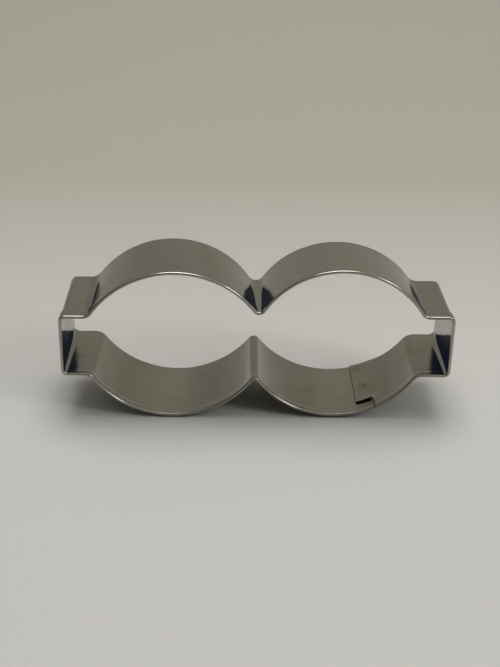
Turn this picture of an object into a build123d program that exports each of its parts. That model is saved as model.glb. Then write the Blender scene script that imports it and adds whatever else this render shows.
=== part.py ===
from build123d import *
from math import cos, degrees, isclose, radians, sin, sqrt
import os

# Cookie cutter: one strip of thin stainless steel, bent on edge into two round lobes with a
# pinched waist and a small square tab at each end, hemmed outwards along its rim and closed
# by a lap joint with two spot welds. All sizes are in millimetres.
# +X runs along the cutter, +Y from the hemmed rim to the cutting edge, +Z up from the two
# lobes that it stands on.

# The strip
strip_width = 25.0  # from the front of the rim to the cutting edge
sheet = 0.3  # sheet thickness

# The outline, measured on the inside face of the strip
lobe_radius = 24.3
lobe_half_spacing = 21.1  # from the waist to the middle of each lobe
lobe_half_height = 19.4
tab_length = 7.25  # from a lobe to the end wall
tab_half_height = 7.8
waist_bend_radius = 1.5
shoulder_bend_radius = 2.3  # where a lobe meets its tab
tab_bend_radius = 1.2

# The hem, folded outwards and back against the wall
bead_thickness = 0.95  # across the rolled front of the rim
bead_length = 1.2  # from the front of the rim to where the flap closes on the wall
bead_edge_radius = 0.35  # of the bead's two front bends
hem_width = 4.5  # from the front of the rim to the end of the flap
flap_clearance = 0.05  # between the flap and the wall

# The lap joint, in the lower right lobe
joint_arc = 10.1  # from the lowest point of the lobe to the butt line of the hems
butt_gap = 0.12
lap_length = 4.65  # from the butt line to the free end of the tongue
lap_clearance = 0.05  # between the tongue and the outer layer
joggle_length = 0.6  # over which the tongue steps inwards
notch_clearance = 0.7  # between the flap's end and the side of the tongue

# The spot welds, in the overlap of the two layers
weld_diameter = 1.7
weld_recess = 0.03  # of the weld's rim below the sheet
weld_dimple = 0.04  # the electrode's mark, below the weld's rim
rear_weld_from_edge = 2.2  # from the cutting edge
middle_weld_from_edge = 12.4
weld_stagger = 0.8  # of the middle weld towards the butt line
weld_margin = 1.0  # that the hole for a weld is cut past the two layers

# Sizes that follow
mid_height = lobe_half_height + bead_thickness
lobe_drop = lobe_radius - lobe_half_height
waist_half_height = sqrt(lobe_radius**2 - lobe_half_spacing**2) - lobe_drop
shoulder_reach = lobe_half_spacing + sqrt(lobe_radius**2 - (tab_half_height + lobe_drop) ** 2)
end_reach = shoulder_reach + tab_length
flap_inside = sheet + flap_clearance
flap_outside = flap_inside + sheet
tongue_depth = hem_width + notch_clearance
tongue_outside = lobe_radius - lap_clearance
tongue_inside = tongue_outside - sheet
butt_angle = degrees(joint_arc / lobe_radius)
gap_angle = degrees(butt_gap / lobe_radius)
joggle_angle = degrees(joggle_length / lobe_radius)
tongue_angle = butt_angle - degrees(lap_length / lobe_radius)
lap_stack = 2 * sheet + lap_clearance


def at_depth(depth):
    # The plane of the outline, seen from the rim side, at a depth behind the front of the rim.
    return Plane(
        origin=(0, depth - strip_width / 2, mid_height), x_dir=(1, 0, 0), z_dir=(0, -1, 0)
    )


def on_joint_lobe(radius, angle):
    # A point of the lower right lobe, at an angle from its lowest point towards the tab.
    return (
        lobe_half_spacing + radius * sin(radians(angle)),
        lobe_drop - radius * cos(radians(angle)),
    )


# The opening that the strip goes round: its inside face
with BuildSketch() as opening:
    with BuildLine():
        for side in (-1, 1):
            ThreePointArc(
                (0, waist_half_height),
                (side * lobe_half_spacing, lobe_half_height),
                (side * shoulder_reach, tab_half_height),
            )
            Line((side * shoulder_reach, tab_half_height), (side * end_reach, tab_half_height))
        mirror(about=Plane.XZ)
        for side in (-1, 1):
            Line((side * end_reach, -tab_half_height), (side * end_reach, tab_half_height))
    make_face()
    for reach, bend_radius in (
        (0, waist_bend_radius),
        (shoulder_reach, shoulder_bend_radius),
        (end_reach, tab_bend_radius),
    ):
        corners = [v for v in vertices() if isclose(abs(v.X), reach, abs_tol=0.001)]
        fillet(corners, bend_radius)


def band(start_depth, inner, outer):
    # The section of a wall that follows the outline, between two offsets from its inside face.
    with BuildSketch(at_depth(start_depth)) as section:
        offset(opening.sketch, amount=outer, kind=Kind.ARC)
        if inner > 0:
            offset(opening.sketch, amount=inner, kind=Kind.ARC, mode=Mode.SUBTRACT)
        else:
            add(opening.sketch, mode=Mode.SUBTRACT)
    return section.sketch


def joint_gap(start_depth, start_angle, end_angle):
    # The section that opens the strip's whole thickness between two angles of the joint's lobe.
    near = lobe_radius - bead_thickness
    far = lobe_radius + 2 * bead_thickness
    with BuildSketch(at_depth(start_depth)) as section:
        with BuildLine():
            Polyline(
                on_joint_lobe(near, start_angle),
                on_joint_lobe(far, start_angle),
                on_joint_lobe(far, end_angle),
                on_joint_lobe(near, end_angle),
                close=True,
            )
        make_face()
    return section.sketch


def weld_plane(from_edge, stagger):
    # Lies on the tongue's inside face at a weld, facing out through both layers.
    middle = (butt_angle - gap_angle - joggle_angle + tongue_angle) / 2
    angle = middle + degrees(stagger / lobe_radius)
    x, z = on_joint_lobe(tongue_inside, angle)
    return Plane(
        origin=(x, strip_width / 2 - from_edge, z + mid_height),
        x_dir=(0, 1, 0),
        z_dir=(sin(radians(angle)), 0, -cos(radians(angle))),
    )


weld_planes = {
    "rear_spot_weld": weld_plane(rear_weld_from_edge, 0),
    "middle_spot_weld": weld_plane(middle_weld_from_edge, weld_stagger),
}

# The strip: a hollow bead, the wall and the flap as closed bands, then opened at the joint
with BuildPart() as strip:
    extrude(band(0, 0, bead_thickness), amount=-bead_length)
    fillet(edges().group_by(Axis.Y)[0], bead_edge_radius)
    hollow = band(sheet, sheet, bead_thickness - sheet)
    extrude(hollow, amount=2 * sheet - bead_length, mode=Mode.SUBTRACT)
    mouth = band(bead_length - sheet, sheet, flap_inside)
    extrude(mouth, amount=-sheet, mode=Mode.SUBTRACT)
    extrude(band(bead_length, 0, sheet), amount=bead_length - strip_width)
    extrude(band(bead_length, flap_inside, flap_outside), amount=bead_length - hem_width)

    hem_gap = joint_gap(0, butt_angle - gap_angle, butt_angle)
    extrude(hem_gap, amount=-tongue_depth, mode=Mode.SUBTRACT)
    wall_gap = joint_gap(tongue_depth, butt_angle - gap_angle - joggle_angle, butt_angle)
    extrude(wall_gap, amount=tongue_depth - strip_width, mode=Mode.SUBTRACT)

    # The tongue steps inwards from the wall's end and lies inside the other end of the strip.
    with BuildSketch(at_depth(tongue_depth)):
        with BuildLine():
            centre = (lobe_half_spacing, lobe_drop)
            flat_angle = butt_angle - joggle_angle
            sweep_angle = flat_angle - tongue_angle
            CenterArc(centre, tongue_outside, tongue_angle - 90, sweep_angle)
            CenterArc(centre, tongue_inside, tongue_angle - 90, sweep_angle)
            Line(
                on_joint_lobe(tongue_outside, tongue_angle),
                on_joint_lobe(tongue_inside, tongue_angle),
            )
            Polyline(
                on_joint_lobe(tongue_outside, flat_angle),
                on_joint_lobe(lobe_radius + sheet, butt_angle),
                on_joint_lobe(lobe_radius, butt_angle),
                on_joint_lobe(tongue_inside, flat_angle),
            )
        make_face()
    extrude(amount=tongue_depth - strip_width)

    for plane in weld_planes.values():
        with BuildSketch(plane.offset(-weld_margin)):
            Circle(weld_diameter / 2)
        extrude(amount=lap_stack + 2 * weld_margin, mode=Mode.SUBTRACT)
strip.part.label = "cutter_strip"

os.makedirs("parts", exist_ok=True)
export_step(strip.part, "parts/cutter_strip.step")

# The spot welds: nuggets through both layers, each end dished by the electrode
for name, plane in weld_planes.items():
    with BuildPart() as weld:
        with BuildSketch(Plane(plane.origin, x_dir=plane.x_dir, z_dir=-plane.y_dir)):
            with BuildLine():
                low = weld_recess
                high = lap_stack - weld_recess
                radius = weld_diameter / 2
                ThreePointArc((-radius, low), (0, low + weld_dimple), (radius, low))
                ThreePointArc((-radius, high), (0, high - weld_dimple), (radius, high))
                Line((-radius, low), (-radius, high))
                Line((radius, low), (radius, high))
            make_face()
            split(bisect_by=Plane.YZ)
        revolve(axis=Axis(plane.origin, plane.z_dir))
    weld.part.label = name
    export_step(weld.part, f"parts/{name}.step")
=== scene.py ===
import bisect
import math
import random

import bmesh
import bpy
from mathutils import Matrix, Vector


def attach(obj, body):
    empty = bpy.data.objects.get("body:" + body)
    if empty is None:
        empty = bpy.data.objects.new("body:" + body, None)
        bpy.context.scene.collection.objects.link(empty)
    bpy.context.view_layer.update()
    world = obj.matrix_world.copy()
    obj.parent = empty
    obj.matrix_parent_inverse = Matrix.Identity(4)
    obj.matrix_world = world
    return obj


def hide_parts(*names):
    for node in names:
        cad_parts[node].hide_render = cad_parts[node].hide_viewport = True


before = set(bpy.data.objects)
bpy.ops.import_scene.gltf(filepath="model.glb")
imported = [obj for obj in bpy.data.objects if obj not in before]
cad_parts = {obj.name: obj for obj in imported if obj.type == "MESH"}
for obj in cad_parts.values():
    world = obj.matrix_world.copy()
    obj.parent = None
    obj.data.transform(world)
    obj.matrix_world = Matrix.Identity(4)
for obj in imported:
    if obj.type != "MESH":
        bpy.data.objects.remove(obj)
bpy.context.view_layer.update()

mm = 0.001
scene = bpy.context.scene
scene.view_settings.view_transform = "Standard"
print("cookie cutter: frame loaded")


# Helpers for the materials

def hexToLinear(hexCode):
    channels = []
    for i in (1, 3, 5):
        c = int(hexCode[i:i + 2], 16) / 255
        channels.append(c / 12.92 if c <= 0.04045 else ((c + 0.055) / 1.055) ** 2.4)
    return (*channels, 1.0)


def addNode(tree, kind, settings=None, links=None):
    # settings are the node's own options, its sockets' values or a ramp's stops, and links are
    # its inputs' sources
    node = tree.nodes.new(kind)
    for key, value in (settings or {}).items():
        if key == "stops":
            elements = node.color_ramp.elements
            while len(elements) < len(value):
                elements.new(0.5)
            for element, (place, color) in zip(elements, value):
                element.position = place
                element.color = color
        elif isinstance(key, str) and hasattr(node, key):
            setattr(node, key, value)
        else:
            node.inputs[key].default_value = value
    for key, source in (links or {}).items():
        tree.links.new(source, node.inputs[key])
    return node


def newMaterial(name):
    material = bpy.data.materials.new(name)
    material.use_nodes = True
    tree = material.node_tree
    tree.nodes.clear()
    return material, tree


def grey(level):
    return (level, level, level, 1.0)


# The strip: one sheet, whose inside face follows the outline. All sizes in mm.

strip = {
    "width": 25.0,            # rim to cutting edge
    "sheet": 0.3,
    "midHeight": 20.5,
    "waviness": 0.02,         # how far the hand-bent wall strays from its arcs
    "seed": 7,
}

# Each lobe's arc is (distance of its centre from the waist, radius, half height), at the rim
# and at the cutting edge: the cutter was bent by hand, and no two lobes are quite alike.
lobes = {
    "upperLeft": {"rim": (20.82, 24.87, 19.36), "edge": (21.77, 23.94, 19.14)},
    "upperRight": {"rim": (21.16, 23.30, 20.20), "edge": (21.45, 23.74, 18.69)},
    "lowerRight": {"rim": (20.09, 24.20, 19.31), "edge": (20.98, 25.45, 18.93)},
    "lowerLeft": {"rim": (21.33, 24.30, 19.55), "edge": (20.97, 24.68, 18.92)},
}
tabs = {
    "upperLeft": {"rim": 7.43, "edge": 8.05},
    "upperRight": {"rim": 7.97, "edge": 7.64},
    "lowerRight": {"rim": 7.73, "edge": 7.99},
    "lowerLeft": {"rim": 7.94, "edge": 7.73},
}
ends = {
    "left": {"rim": 48.93, "edge": 49.07},
    "right": {"rim": 48.79, "edge": 49.45},
}
bends = {
    "upperWaist": {"rim": 1.7, "edge": 2.45},
    "lowerWaist": {"rim": 1.43, "edge": 1.56},
    "shoulder": {"rim": 2.6, "edge": 3.8},
    "corner": {"rim": 0.9, "edge": 1.5},
}
stationCounts = {"lobe": 170, "waist": 24, "shoulder": 16, "tab": 16, "corner": 14, "end": 44}

hem = {
    "bead": 0.8,              # across the rolled front of the rim
    "bulge": 0.14,            # of the roll, inwards past the wall
    "bulgeEnd": 2.5,          # from the front of the rim to where the bulge runs out
    "bulgeFade": 0.9,         # over which it does
    "beadLength": 1.9,        # over which the roll closes onto the wall
    "width": 4.1,             # from the front of the rim to the end of the flap
    "gap": 0.05,              # between the flap and the wall
    "beadSteps": 10,
}

lap = {
    "jointArc": 11.2,         # from the lowest point of the lobe to the butt line
    "buttGap": 0.2,           # between the two ends of the rim
    "setback": 0.9,           # from the butt line to the end of the outer layer
    "length": 4.9,
    "clearance": 0.05,        # between the two layers
    "joggle": 0.6,            # past the butt line, where the tongue's step inwards ends
    "joggleLead": 5.0,        # before the butt line, where it starts
    "joggleFade": 2.0,        # towards the rim, which stays in line
    "notch": 0.4,             # between the flap's end and the side of the tongue
    "lift": 0.18,             # how far the tongue's near side stands off, at its free end
    "rootLift": 0.36,         # and at the butt line
    "liftLength": 3.2,        # towards the cutting edge, over which it comes to rest
    "step": 0.2,              # between the tongue's stations
}


def arcPoints(centre, start, end, count):
    # From start up to, but not including, end, the short way round the centre
    radius = math.dist(centre, start)
    a0 = math.atan2(start[1] - centre[1], start[0] - centre[0])
    a1 = math.atan2(end[1] - centre[1], end[0] - centre[0])
    turn = (a1 - a0 + math.pi) % (2 * math.pi) - math.pi
    return [(centre[0] + radius * math.cos(a0 + turn * i / count),
             centre[1] + radius * math.sin(a0 + turn * i / count)) for i in range(count)]


def linePoints(start, end, count):
    return [(start[0] + (end[0] - start[0]) * i / count,
             start[1] + (end[1] - start[1]) * i / count) for i in range(count)]


def between(centre, other, radius):
    # The point at a radius from the centre, towards the other point
    share = radius / math.dist(centre, other)
    return (centre[0] + (other[0] - centre[0]) * share, centre[1] + (other[1] - centre[1]) * share)


def lobeCircle(name, place):
    spacing, radius, height = lobes[name][place]
    side = -1 if name.endswith("Left") else 1
    up = 1 if name.startswith("upper") else -1
    return (side * spacing, up * (height - radius)), radius, side, up


def waistBend(left, right, place, radius):
    # The centre of the bend that touches both lobes from outside
    (x0, z0), r0, _, up = lobeCircle(left, place)
    (x1, z1), r1, _, _ = lobeCircle(right, place)
    r0 += radius
    r1 += radius
    span = math.dist((x0, z0), (x1, z1))
    along = (r0 ** 2 - r1 ** 2 + span ** 2) / (2 * span)
    away = math.sqrt(r0 ** 2 - along ** 2)
    dx, dz = (x1 - x0) / span, (z1 - z0) / span
    return (x0 + dx * along - up * dz * away, z0 + dz * along + up * dx * away)


def quarterOutline(name, place, waistCentre):
    # One quarter from the end of its waist bend to the end wall: points, then the last corner
    centre, radius, side, up = lobeCircle(name, place)
    tab = tabs[name][place]
    end = ends["left" if side < 0 else "right"][place]
    bend, corner = bends["shoulder"][place], bends["corner"][place]
    rise = up * (tab + bend) - centre[1]
    shoulder = (centre[0] + side * math.sqrt((radius + bend) ** 2 - rise ** 2),
                up * (tab + bend))
    start = between(centre, waistCentre, radius)
    leave = between(centre, shoulder, radius)
    level = (shoulder[0], up * tab)
    turnIn = (side * (end - corner), up * tab)
    turnOut = (side * end, up * (tab - corner))
    cornerCentre = (turnIn[0], turnOut[1])
    n = stationCounts
    points = arcPoints(centre, start, leave, n["lobe"])
    points += arcPoints(shoulder, leave, level, n["shoulder"])
    points += linePoints(level, turnIn, n["tab"])
    points += arcPoints(cornerCentre, turnIn, turnOut, n["corner"])
    return points, turnOut


def outline(place):
    # The closed inside outline, clockwise from the lower waist, and where the lower right starts
    waists = {}
    for up in ("upper", "lower"):
        waists[up] = waistBend(up + "Left", up + "Right", place, bends[up + "Waist"][place])
    quarters = {name: quarterOutline(name, place, waists[name[:5]]) for name in lobes}

    def outwards(name):
        return quarters[name][0]

    def inwards(name):
        # The same points the other way, from the end wall to the waist
        points, last = quarters[name]
        return [last] + points[:0:-1]

    points = list(outwards("lowerLeft"))
    points += linePoints(quarters["lowerLeft"][1], quarters["upperLeft"][1], stationCounts["end"])
    points += inwards("upperLeft")
    points += arcPoints(waists["upper"], quarters["upperLeft"][0][0],
                        quarters["upperRight"][0][0], stationCounts["waist"])
    points += outwards("upperRight")
    points += linePoints(quarters["upperRight"][1], quarters["lowerRight"][1],
                         stationCounts["end"])
    lowerRightStart = len(points)
    points += inwards("lowerRight")
    points += arcPoints(waists["lower"], quarters["lowerRight"][0][0],
                        quarters["lowerLeft"][0][0], stationCounts["waist"])
    return points, lowerRightStart


def sectionRows():
    # The section of the sheet as (offset from the inside face, depth), once round
    t, g = strip["sheet"], hem["gap"]
    bead, beadLength, hemWidth = hem["bead"], hem["beadLength"], hem["width"]
    tongueDepth = hemWidth + lap["notch"]
    r = bead / 2
    bulge = hem["bulge"]
    flapIn, flapOut = t + g, 2 * t + g
    steps = hem["beadSteps"]

    def bulgeShare(depth):
        return smoothStep((hem["bulgeEnd"] - depth) / hem["bulgeFade"])

    # The wall's inside face up to the rim, the roll, then the flap with its cut end eased
    rows = []
    wallDepths = (tongueDepth, 3.4, 2.5, 2.3, 2.1, 1.9, 1.75, 1.6, 0.9)
    for depth in wallDepths:
        rows.append((-bulge * bulgeShare(depth), depth))
    for i in range(steps + 1):
        a = math.pi * i / steps
        rows.append((r - bulge - r * math.cos(a), r - r * math.sin(a)))
    outer = bead - bulge
    for i in range(1, steps + 1):
        u = i / steps
        rows.append((outer + (flapOut - outer) * smoothStep(u), r + (beadLength - r) * u))
    rows += [(flapOut, 2.8), (flapOut, hemWidth - 0.25), (flapOut - 0.02, hemWidth - 0.12),
             (flapOut - 0.07, hemWidth - 0.03), (flapOut - 0.14, hemWidth)]
    rows += [(flapIn + 0.03, hemWidth), (flapIn, hemWidth - 0.03)]
    rows += [(flapIn, 3.0), (flapIn, beadLength)]

    # Back inside the roll, one sheet thickness in, and along the wall's outside face
    inner = outer - t
    for i in range(steps - 1, -1, -1):
        u = i / steps
        rows.append((inner + (flapIn - inner) * smoothStep(u), r + (beadLength - r) * u))
    for i in range(1, steps):
        a = math.pi * (1 - i / steps)
        rows.append((r - bulge - (r - t) * math.cos(a), r - (r - t) * math.sin(a)))
    for depth in reversed(wallDepths):
        rows.append((t - bulge * bulgeShare(depth), depth))

    # The plain wall behind the hem, round its cutting edge
    front = len(rows)
    width = strip["width"]
    backDepths = [tongueDepth + 0.5, tongueDepth + 1.2, tongueDepth + 2.2,
                  8.0, 11.0, 14.0, 17.0, 20.0, 22.5, 24.2]
    for depth in backDepths:
        rows.append((t, depth))
    rows += [(t, width - 0.04), (t - 0.05, width), (0.05, width), (0.0, width - 0.04)]
    for depth in reversed(backDepths):
        rows.append((0.0, depth))
    return rows, front


def smoothStep(u):
    u = max(0.0, min(1.0, u))
    return u * u * (3 - 2 * u)


def stripPath():
    # Both outlines, cut open at the joint and run once round, with outward normals
    rim, lowerRightStart = outline("rim")
    edge, _ = outline("edge")
    count = len(rim)
    spacing, radius, _ = lobes["lowerRight"]["rim"]
    target = spacing + radius * math.sin(lap["jointArc"] / radius)
    joint = min(range(lowerRightStart, count), key=lambda i: abs(rim[i][0] - target))
    stations = []
    place = 0.0
    for k in range(count + 1):
        i = (joint + k) % count
        before, after = i - 1, (i + 1) % count
        normals = []
        for points in (rim, edge):
            dx = points[after][0] - points[before][0]
            dz = points[after][1] - points[before][1]
            normals.append(Vector((-dz, dx)).normalized())
        if k > 0:
            place += math.dist(rim[i], rim[i - 1])
        stations.append((place, Vector(rim[i]), Vector(edge[i]), *normals))
    return stations


pathStations = stripPath()
pathPlaces = [station[0] for station in pathStations]
pathLength = pathPlaces[-1]
print("cookie cutter: outline of", round(pathLength, 1), "mm")

# Slow waves of the wall: (length in mm, phase, share of the waviness)
random.seed(strip["seed"])
waves = [(length, random.uniform(0, 2 * math.pi), share)
         for length, share in ((37.0, 1.6), (19.0, 1.0), (8.5, 0.5), (4.7, 0.22))]


def sheetPoint(place, offset, depth):
    # Past either end of the strip, places carry on along the same closed outline
    place %= pathLength
    index = min(bisect.bisect_right(pathPlaces, place), len(pathPlaces) - 1)
    a, b = pathStations[index - 1], pathStations[index]
    t = (place - a[0]) / (b[0] - a[0])
    share = depth / strip["width"]
    base = a[1].lerp(b[1], t).lerp(a[2].lerp(b[2], t), share)
    normal = a[3].lerp(b[3], t).lerp(a[4].lerp(b[4], t), share).normalized()
    for length, phase, size in waves:
        offset += strip["waviness"] * size * math.sin(2 * math.pi * place / length + phase
                                                      + depth * 0.04)
    p = base + normal * offset
    return Vector((p.x, depth - strip["width"] / 2, p.y + strip["midHeight"])) * mm


def tongueInset(along, depth):
    # How far the wall lies inside its outline, near the joint, at a length past the butt line
    tongueDepth = hem["width"] + lap["notch"]
    shift = strip["sheet"] + lap["clearance"]
    lead = lap["joggleLead"]
    inset = shift * smoothStep((along + lead) / (lead + lap["joggle"]))
    if along < 0:
        inset *= smoothStep((depth - tongueDepth) / lap["joggleFade"])
    nearSide = max(0.0, 1 - (depth - tongueDepth) / lap["liftLength"])
    lift = lap["rootLift"] + (lap["lift"] - lap["rootLift"]) * along / lap["length"]
    return inset + lift * nearSide ** 2 * smoothStep(along / lap["joggle"])


def makeMesh(name, vertices, faces, uvs):
    mesh = bpy.data.meshes.new(name)
    mesh.from_pydata(vertices, [], faces)
    layer = mesh.uv_layers.new(name="alongStrip")
    for loop in mesh.loops:
        layer.data[loop.index].uv = uvs[loop.vertex_index]
    mesh.validate()
    piece = bpy.data.objects.new(name, mesh)
    scene.collection.objects.link(piece)
    return piece


def buildStrip():
    rows, front = sectionRows()
    tongueDepth = hem["width"] + lap["notch"]

    # From one end of the rim to the other, without stations that all but meet an end
    stations = [lap["buttGap"]]
    stations += [s for s in pathPlaces if lap["buttGap"] + 0.1 < s < pathLength - 0.05]
    stations.append(pathLength)
    backStart = min(range(len(stations)), key=lambda i: abs(stations[i] - lap["setback"]))
    frontRows = list(range(front))
    backRows = list(range(front - 1, len(rows))) + [0]
    vertices, uvs, faces, grid = [], [], [], []
    for i, place in enumerate(stations):
        loop = []
        for offset, depth in rows if i >= backStart else rows[:front]:
            inset = 0.0
            if place > pathLength / 2 and depth > tongueDepth:
                inset = tongueInset(place - pathLength, depth)
            loop.append(len(vertices))
            vertices.append(sheetPoint(place, offset - inset, depth))
            uvs.append((place * mm, depth * mm))
        grid.append(loop)

    # The hem runs all the way, and the wall behind it starts a little later
    last = len(stations) - 1
    for i in range(last):
        a, b = grid[i], grid[i + 1]
        for k, n in zip(frontRows, frontRows[1:]):
            faces.append((a[k], b[k], b[n], a[n]))
        if i >= backStart:
            for k, n in zip(backRows, backRows[1:]):
                faces.append((a[k], b[k], b[n], a[n]))
        else:
            faces.append((a[front - 1], b[front - 1], b[0], a[0]))
    faces.append(tuple(reversed([grid[0][k] for k in frontRows])))
    faces.append(tuple(grid[last][k] for k in frontRows))
    faces.append(tuple(reversed([grid[backStart][k] for k in backRows])))

    # The tongue: the back rows carry on past the butt line, one sheet thickness further in
    previous = [grid[last][k] for k in backRows]
    steps = round(lap["length"] / lap["step"])
    for j in range(1, steps + 1):
        along = lap["length"] * j / steps
        current = []
        for k in backRows:
            offset, depth = rows[k]
            current.append(len(vertices))
            vertices.append(sheetPoint(along, offset - tongueInset(along, depth), depth))
            uvs.append(((pathLength + along) * mm, depth * mm))
        for m in range(len(backRows)):
            n = (m + 1) % len(backRows)
            faces.append((previous[m], current[m], current[n], previous[n]))
        previous = current
    faces.append(tuple(previous))
    return makeMesh("cutterStripMesh", vertices, faces, uvs)


stripPiece = buildStrip()


def shadeByAngle(piece, degrees):
    # Smooth faces with real edges kept sharp
    mesh = piece.data
    for polygon in mesh.polygons:
        polygon.use_smooth = True
    bm = bmesh.new()
    bm.from_mesh(mesh)
    bmesh.ops.recalc_face_normals(bm, faces=bm.faces)
    limit = math.radians(degrees)
    for edge in bm.edges:
        edge.smooth = len(edge.link_faces) == 2 and edge.calc_face_angle(0) < limit
    bm.to_mesh(mesh)
    bm.free()


shadeByAngle(stripPiece, 35)
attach(stripPiece, "root")
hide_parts("cutter_strip")
print("cookie cutter: strip of", len(stripPiece.data.polygons), "faces")


# Bright rolled stainless: cold rolled between polished rolls, so it is a soft mirror with very
# fine lines along the strip, fingered, hazed by washing and browned a little at the welds.

brightRolled = {
    "colour": "#a7a69f",
    "dullColour": "#98978d",      # between the rolling lines
    "smudgeColour": "#8f7b6c",    # finger marks and washing haze
    # the dust specks' colour, and that of the painted shade at the joint lines
    "grimeAndShadeColour": "#2a2622",
    "tintColour": "#8a7458",      # straw brown from the heat of a weld
    "roughness": 0.15,
    "roughnessSpread": 0.10,
    "anisotropy": 0.45,       # blurs across the rolling lines
    "lineSpacing": 0.35,      # mm, drawn coarser than the real 0.05 mm so that it shows
    "lineStretch": 60,        # times as long as they are wide
    "lineDepth": 0.0012,      # mm
    "smudgeSize": 9.0,        # mm
    "dentSize": 14.0,         # mm
    "dentDepth": 0.02,        # mm
    "jointShadeWidth": 0.16,       # mm, of the painted shade at the end of the tongue and at the butt line
    "speckSpacing": 3.0,      # mm
    "speckSize": 0.3,
    "tintReach": 1.9,         # mm, round the middle of a weld
}

# Each weld's middle, past the butt line and behind the front of the rim, in mm
welds = {
    "rear_spot_weld": {"mesh": "rearSpotWeldMesh", "along": 3.3, "depth": 22.1},
    "middle_spot_weld": {"mesh": "middleSpotWeldMesh", "along": 1.9, "depth": 12.0},
}
spotWeld = {
    "colour": "#99927f",
    "burntColour": "#5f554a",
    "roughness": 0.4,
    "grain": 0.25,            # mm
    "grainDepth": 0.015,      # mm
    "radius": 0.85,           # mm
    "ringRadius": 0.7,        # mm, of the ring that the electrode pressed up
    "ring": ((0.35, 0.01), (0.75, 0.015), (1.0, 0.025), (1.12, 0.0125)),  # share, mm of height
    "sink": 0.02,             # mm, of the weld's rim below the sheet
    "turns": 40,
}


def near(tree, source, value, width):
    # 1 where the source lies within a width of a value, both in metres
    away = addNode(tree, "ShaderNodeMath", {"operation": "SUBTRACT", 1: value}, {0: source})
    size = addNode(tree, "ShaderNodeMath", {"operation": "ABSOLUTE"}, {0: away.outputs["Value"]})
    return addNode(tree, "ShaderNodeMapRange",
                   {"interpolation_type": "SMOOTHSTEP", "From Min": 0.4 * width,
                    "From Max": width, "To Min": 1.0, "To Max": 0.0},
                   {"Value": size.outputs["Value"]}).outputs["Result"]


def jointShadeAndGrime(tree, uv):
    # Painted shade, with some grime: dark lines where the sheet's cut ends meet the layer beside
    # them
    b = brightRolled
    split = addNode(tree, "ShaderNodeSeparateXYZ", links={"Vector": uv})
    along, depth = split.outputs["X"], split.outputs["Y"]
    width = b["jointShadeWidth"] * mm
    notchDepth = (hem["width"] + lap["notch"] + 0.1) * mm

    # Each line is (place along the strip, share of the width): at the tongue's tip and at the
    # butt line, which lie on the two sides of the notch
    tip = ((pathLength + lap["length"], 0.7), (lap["length"], 1.0))
    butt = ((pathLength, 0.8), (lap["buttGap"], 0.8))
    masks = []
    for lines, side in ((tip, "GREATER_THAN"), (butt, "LESS_THAN")):
        marks = [near(tree, along, place * mm, share * width) for place, share in lines]
        mark = addNode(tree, "ShaderNodeMath", {"operation": "MAXIMUM"},
                       {0: marks[0], 1: marks[1]})
        inside = addNode(tree, "ShaderNodeMath", {"operation": side, 1: notchDepth}, {0: depth})
        masks.append(addNode(tree, "ShaderNodeMath", {"operation": "MULTIPLY"},
                             {0: mark.outputs["Value"], 1: inside.outputs["Value"]}))
    shadeAndGrime = addNode(tree, "ShaderNodeMath", {"operation": "MAXIMUM"},
                    {0: masks[0].outputs["Value"], 1: masks[1].outputs["Value"]})
    return shadeAndGrime.outputs["Value"]


def weldTint(tree, place):
    # A faint brown ring of heat round each weld
    reach = brightRolled["tintReach"] * mm
    rings = []
    for weld in welds.values():
        middle = sheetPoint(weld["along"], 0.0, weld["depth"])
        away = addNode(tree, "ShaderNodeVectorMath", {"operation": "DISTANCE", 1: middle},
                       {0: place})
        share = addNode(tree, "ShaderNodeMapRange", {"From Max": reach},
                        {"Value": away.outputs["Value"]})
        ring = addNode(tree, "ShaderNodeValToRGB",
                       {"stops": [(0.0, grey(0.3)), (0.45, grey(0.15)), (0.62, grey(0.5)),
                                  (1.0, grey(0))]},
                       {"Fac": share.outputs["Result"]})
        rings.append(ring.outputs["Color"])
    tint = addNode(tree, "ShaderNodeMath", {"operation": "MAXIMUM"}, {0: rings[0], 1: rings[1]})
    return tint.outputs["Value"]


def specks(tree, place):
    # Sparse fine pits and dust, in four cells out of ten
    b = brightRolled
    cells = addNode(tree, "ShaderNodeTexVoronoi", {"Scale": 1 / (b["speckSpacing"] * mm)},
                    {"Vector": place})
    dot = addNode(tree, "ShaderNodeMapRange",
                  {"From Min": 0.0, "From Max": b["speckSize"] / b["speckSpacing"],
                   "To Min": 0.7, "To Max": 0.0},
                  {"Value": cells.outputs["Distance"]})
    chosen = addNode(tree, "ShaderNodeSeparateColor", links={"Color": cells.outputs["Color"]})
    rare = addNode(tree, "ShaderNodeMath", {"operation": "GREATER_THAN", 1: 0.6},
                   {0: chosen.outputs["Red"]})
    speck = addNode(tree, "ShaderNodeMath", {"operation": "MULTIPLY"},
                    {0: dot.outputs["Result"], 1: rare.outputs["Value"]})
    return speck.outputs["Value"]


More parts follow.
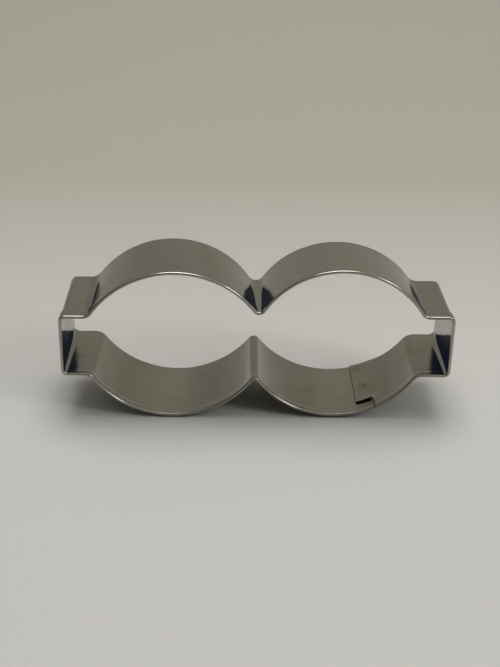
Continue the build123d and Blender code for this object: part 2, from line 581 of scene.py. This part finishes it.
def brightRolledStainless():
    b = brightRolled
    material, tree = newMaterial("brightRolledStainless")
    uv = addNode(tree, "ShaderNodeUVMap", {"uv_map": "alongStrip"}).outputs["UV"]
    place = addNode(tree, "ShaderNodeTexCoord").outputs["Object"]

    # Rolling lines: fine across the strip, and stretched along it
    lineScale = 1 / (b["lineSpacing"] * mm)
    lineMap = addNode(tree, "ShaderNodeMapping",
                      {"Scale": (lineScale / b["lineStretch"], lineScale, 1)}, {"Vector": uv})
    lines = addNode(tree, "ShaderNodeTexNoise", {"Scale": 1.0, "Detail": 3.0, "Roughness": 0.6},
                    {"Vector": lineMap.outputs["Vector"]})
    smudges = addNode(tree, "ShaderNodeTexNoise",
                      {"Scale": 1 / (b["smudgeSize"] * mm), "Detail": 4.0, "Roughness": 0.55,
                       "Distortion": 0.4}, {"Vector": place})
    smudgeMask = addNode(tree, "ShaderNodeValToRGB",
                         {"stops": [(0.56, grey(0)), (0.76, grey(0.4))]},
                         {"Fac": smudges.outputs["Fac"]})
    dents = addNode(tree, "ShaderNodeTexNoise",
                    {"Scale": 1 / (b["dentSize"] * mm), "Detail": 1.5, "Roughness": 0.4},
                    {"Vector": place})

    # Inputs 6 and 7 and output 2 of a Mix node are its colours
    tone = addNode(tree, "ShaderNodeMix",
                   {"data_type": "RGBA", 6: hexToLinear(b["colour"]),
                    7: hexToLinear(b["dullColour"])},
                   {"Factor": lines.outputs["Fac"]})
    colour = tone.outputs[2]
    # Layers over the tone: finger marks, specks, heat tint, and painted shade with some grime at
    # the joints
    for mask, layerColour in ((smudgeMask.outputs["Color"], b["smudgeColour"]),
                              (specks(tree, place), b["grimeAndShadeColour"]),
                              (weldTint(tree, place), b["tintColour"]),
                              (jointShadeAndGrime(tree, uv), b["grimeAndShadeColour"])):
        layer = addNode(tree, "ShaderNodeMix",
                        {"data_type": "RGBA", 7: hexToLinear(layerColour)},
                        {"Factor": mask, 6: colour})
        colour = layer.outputs[2]

    rough = addNode(tree, "ShaderNodeMapRange",
                    {"From Min": 0.3, "From Max": 0.8, "To Min": b["roughness"],
                     "To Max": b["roughness"] + b["roughnessSpread"]},
                    {"Value": smudges.outputs["Fac"]})
    dentBump = addNode(tree, "ShaderNodeBump",
                       {"Strength": 1.0, "Distance": b["dentDepth"] * mm},
                       {"Height": dents.outputs["Fac"]})
    lineBump = addNode(tree, "ShaderNodeBump",
                       {"Strength": 1.0, "Distance": b["lineDepth"] * mm},
                       {"Height": lines.outputs["Fac"], "Normal": dentBump.outputs["Normal"]})
    along = addNode(tree, "ShaderNodeTangent", {"direction_type": "UV_MAP",
                                                "uv_map": "alongStrip"})
    shader = addNode(tree, "ShaderNodeBsdfPrincipled",
                     {"Metallic": 1.0, "Anisotropic": b["anisotropy"],
                      "Anisotropic Rotation": 0.25},
                     {"Base Color": colour, "Roughness": rough.outputs["Result"],
                      "Normal": lineBump.outputs["Normal"],
                      "Tangent": along.outputs["Tangent"]})
    addNode(tree, "ShaderNodeOutputMaterial", links={"Surface": shader.outputs["BSDF"]})
    return material


stripPiece.data.materials.append(brightRolledStainless())


# Spot welds: the same steel, dished by the electrodes and browned by the heat

def buildWeld(node):
    weld, w = welds[node], spotWeld
    outerFace = strip["sheet"]
    innerFace = -tongueInset(weld["along"], weld["depth"])
    profile = []
    for share, height in w["ring"]:
        profile.append((share * w["ringRadius"], innerFace - height))
    profile.append((w["radius"], innerFace + w["sink"]))
    profile.append((w["radius"], outerFace - w["sink"]))
    for share, height in reversed(w["ring"]):
        profile.append((share * w["ringRadius"], outerFace + height))
    turns = w["turns"]
    vertices, faces, uvs = [], [], []
    for radius, offset in profile:
        for k in range(turns):
            a = 2 * math.pi * k / turns
            place = weld["along"] + radius * math.cos(a)
            depth = weld["depth"] + radius * math.sin(a)
            vertices.append(sheetPoint(place, offset, depth))
            uvs.append((place * mm, depth * mm))
    for row in range(len(profile) - 1):
        for k in range(turns):
            n = (k + 1) % turns
            faces.append((row * turns + k, row * turns + n,
                          (row + 1) * turns + n, (row + 1) * turns + k))
    last = (len(profile) - 1) * turns
    faces.append(tuple(range(turns)))
    faces.append(tuple(last + k for k in reversed(range(turns))))
    piece = makeMesh(weld["mesh"], vertices, faces, uvs)
    shadeByAngle(piece, 40)
    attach(piece, "root")
    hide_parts(node)
    return piece


def pressedWeldSteel():
    # Pressed flat and browned, so it is duller and darker than the sheet, with a fine grain
    w = spotWeld
    material, tree = newMaterial("pressedWeldSteel")
    place = addNode(tree, "ShaderNodeTexCoord")
    grain = addNode(tree, "ShaderNodeTexNoise",
                    {"Scale": 1 / (w["grain"] * mm), "Detail": 3.0},
                    {"Vector": place.outputs["Object"]})
    colour = addNode(tree, "ShaderNodeValToRGB",
                     {"stops": [(0.35, hexToLinear(w["burntColour"])),
                                (0.65, hexToLinear(w["colour"]))]},
                     {"Fac": grain.outputs["Fac"]})
    bump = addNode(tree, "ShaderNodeBump", {"Strength": 1.0, "Distance": w["grainDepth"] * mm},
                   {"Height": grain.outputs["Fac"]})
    shader = addNode(tree, "ShaderNodeBsdfPrincipled",
                     {"Metallic": 1.0, "Roughness": w["roughness"]},
                     {"Base Color": colour.outputs["Color"], "Normal": bump.outputs["Normal"]})
    addNode(tree, "ShaderNodeOutputMaterial", links={"Surface": shader.outputs["BSDF"]})
    return material


weldMaterial = pressedWeldSteel()
for node in welds:
    buildWeld(node).data.materials.append(weldMaterial)
print("cookie cutter: welds and materials done")


# The floor, the backdrop and the light

studio = {
    "shades": ((0.0, "#bebdb9"), (0.12, "#a4a196"), (0.45, "#a4a095"), (0.9, "#bab6aa")),
    "shadeReach": 1.6,        # m, from the cutter back and up to the last shade
    "riseStretch": 3.0,       # how much faster the shades pass up the wall than along the floor
    # painted dark reflection: the backdrop's colour where it is seen after two bounces off the
    # metal
    "paintedReflectionColour": "#0e2b58",
    "floorReach": 3.0,        # m
    "wallAt": 0.62,           # m behind the cutter
    "coveRadius": 0.25,
    "coveSteps": 12,
    "keyPower": 8.5,
    "keySize": 0.8,
    "keyAt": (0.03, 0.25, 1.2),
    "fillPower": 2.2,
    "fillSize": 0.3,
    "fillAt": (0.75, -0.5, 0.65),
    "roomColour": "#fffdf8",
    "roomLevels": ((0.0, 0.38), (0.5, 0.68), (1.0, 1.0)),     # from the horizon up
    "brightSide": (0.4, 0.9, 0.15),
    "darkSide": {"From Min": -0.7, "From Max": 0.0, "To Min": 0.03, "To Max": 1.0},
}


def buildBackdrop():
    reach, wall, radius = studio["floorReach"], studio["wallAt"], studio["coveRadius"]
    profile = [(-reach, 0.0), (wall - radius, 0.0)]
    for i in range(1, studio["coveSteps"] + 1):
        a = math.pi / 2 * i / studio["coveSteps"]
        profile.append((wall - radius + radius * math.sin(a), radius - radius * math.cos(a)))
    profile.append((wall, reach))
    vertices = [(x, y, z) for y, z in profile for x in (-reach, reach)]
    faces = [(2 * i, 2 * i + 1, 2 * i + 3, 2 * i + 2) for i in range(len(profile) - 1)]
    mesh = bpy.data.meshes.new("backdrop")
    mesh.from_pydata(vertices, [], faces)
    for polygon in mesh.polygons:
        polygon.use_smooth = True
    backdrop = bpy.data.objects.new("backdrop", mesh)
    scene.collection.objects.link(backdrop)

    # Pale floor, darkening up the wall, and painted dark reflection: dark to light that
    # has met the metal twice
    material, tree = newMaterial("backdropWithPaintedReflection")
    place = addNode(tree, "ShaderNodeTexCoord")
    split = addNode(tree, "ShaderNodeSeparateXYZ", links={"Vector": place.outputs["Object"]})
    rise = addNode(tree, "ShaderNodeMath", {"operation": "MULTIPLY", 1: studio["riseStretch"]},
                   {0: split.outputs["Z"]})
    run = addNode(tree, "ShaderNodeMath", {"operation": "ADD"},
                  {0: split.outputs["Y"], 1: rise.outputs["Value"]})
    far = addNode(tree, "ShaderNodeMapRange", {"From Max": studio["shadeReach"]},
                  {"Value": run.outputs["Value"]})
    colour = addNode(tree, "ShaderNodeValToRGB",
                     {"stops": [(share, hexToLinear(shade)) for share, shade in studio["shades"]]},
                     {"Fac": far.outputs["Result"]})
    # Painted reflection: navy where the backdrop is reached after two glossy bounces
    path = addNode(tree, "ShaderNodeLightPath")
    twice = addNode(tree, "ShaderNodeMath", {"operation": "GREATER_THAN", 1: 1.5},
                    {0: path.outputs["Glossy Depth"]})
    seen = addNode(tree, "ShaderNodeMix",
                   {"data_type": "RGBA", 7: hexToLinear(studio["paintedReflectionColour"])},
                   {"Factor": twice.outputs["Value"], 6: colour.outputs["Color"]})
    shader = addNode(tree, "ShaderNodeBsdfPrincipled", {"Roughness": 0.8},
                     {"Base Color": seen.outputs[2]})
    addNode(tree, "ShaderNodeOutputMaterial", links={"Surface": shader.outputs["BSDF"]})
    mesh.materials.append(material)
    return backdrop


buildBackdrop()


def areaLamp(name, at, size, power, target=(0, 0, 0.02)):
    data = bpy.data.lights.new(name, "AREA")
    data.shape = "DISK"
    data.size = size
    data.energy = power
    lamp = bpy.data.objects.new(name, data)
    scene.collection.objects.link(lamp)
    lamp.location = at
    away = Vector(at) - Vector(target)
    lamp.rotation_euler = away.to_track_quat("Z", "Y").to_euler()


areaLamp("keyLight", studio["keyAt"], studio["keySize"], studio["keyPower"])
areaLamp("fillLight", studio["fillAt"], studio["fillSize"], studio["fillPower"])


def buildRoom():
    # Grey walls, a pale ceiling, and the darker side of the room in front of the cutter
    world = bpy.data.worlds.new("room")
    world.use_nodes = True
    tree = world.node_tree
    tree.nodes.clear()
    place = addNode(tree, "ShaderNodeTexCoord")
    split = addNode(tree, "ShaderNodeSeparateXYZ", links={"Vector": place.outputs["Generated"]})
    back = addNode(tree, "ShaderNodeVectorMath",
                   {"operation": "DOT_PRODUCT", 1: studio["brightSide"]},
                   {0: place.outputs["Generated"]})
    up = addNode(tree, "ShaderNodeValToRGB",
                 {"stops": [(height, grey(level)) for height, level in studio["roomLevels"]]},
                 {"Fac": split.outputs["Z"]})
    side = addNode(tree, "ShaderNodeMapRange", studio["darkSide"],
                   {"Value": back.outputs["Value"]})
    strength = addNode(tree, "ShaderNodeMath", {"operation": "MULTIPLY"},
                       {0: up.outputs["Color"], 1: side.outputs["Result"]})
    background = addNode(tree, "ShaderNodeBackground",
                         {"Color": hexToLinear(studio["roomColour"])},
                         {"Strength": strength.outputs["Value"]})
    addNode(tree, "ShaderNodeOutputWorld", links={"Surface": background.outputs["Background"]})
    scene.world = world


buildRoom()


# The camera, fitted to the strip's near and far edges

view = {
    "at": (-9.14, -261.39, 143.27),     # mm
    "pitch": 25.54,                     # degrees below the horizon
    "yaw": -1.66,
    "roll": 1.18,
    "lens": 59.64,                      # mm, on a 36 mm sensor
}


def buildCamera():
    data = bpy.data.cameras.new("camera")
    data.sensor_width = 36.0
    data.lens = view["lens"]
    data.clip_start = 0.01
    camera = bpy.data.objects.new("camera", data)
    scene.collection.objects.link(camera)
    turn = (Matrix.Rotation(math.radians(view["yaw"]), 4, "Z")
            @ Matrix.Rotation(math.radians(90 - view["pitch"]), 4, "X")
            @ Matrix.Rotation(math.radians(view["roll"]), 4, "Z"))
    camera.matrix_world = Matrix.Translation(Vector(view["at"]) * mm) @ turn
    scene.camera = camera


buildCamera()
print("cookie cutter: studio and camera done")
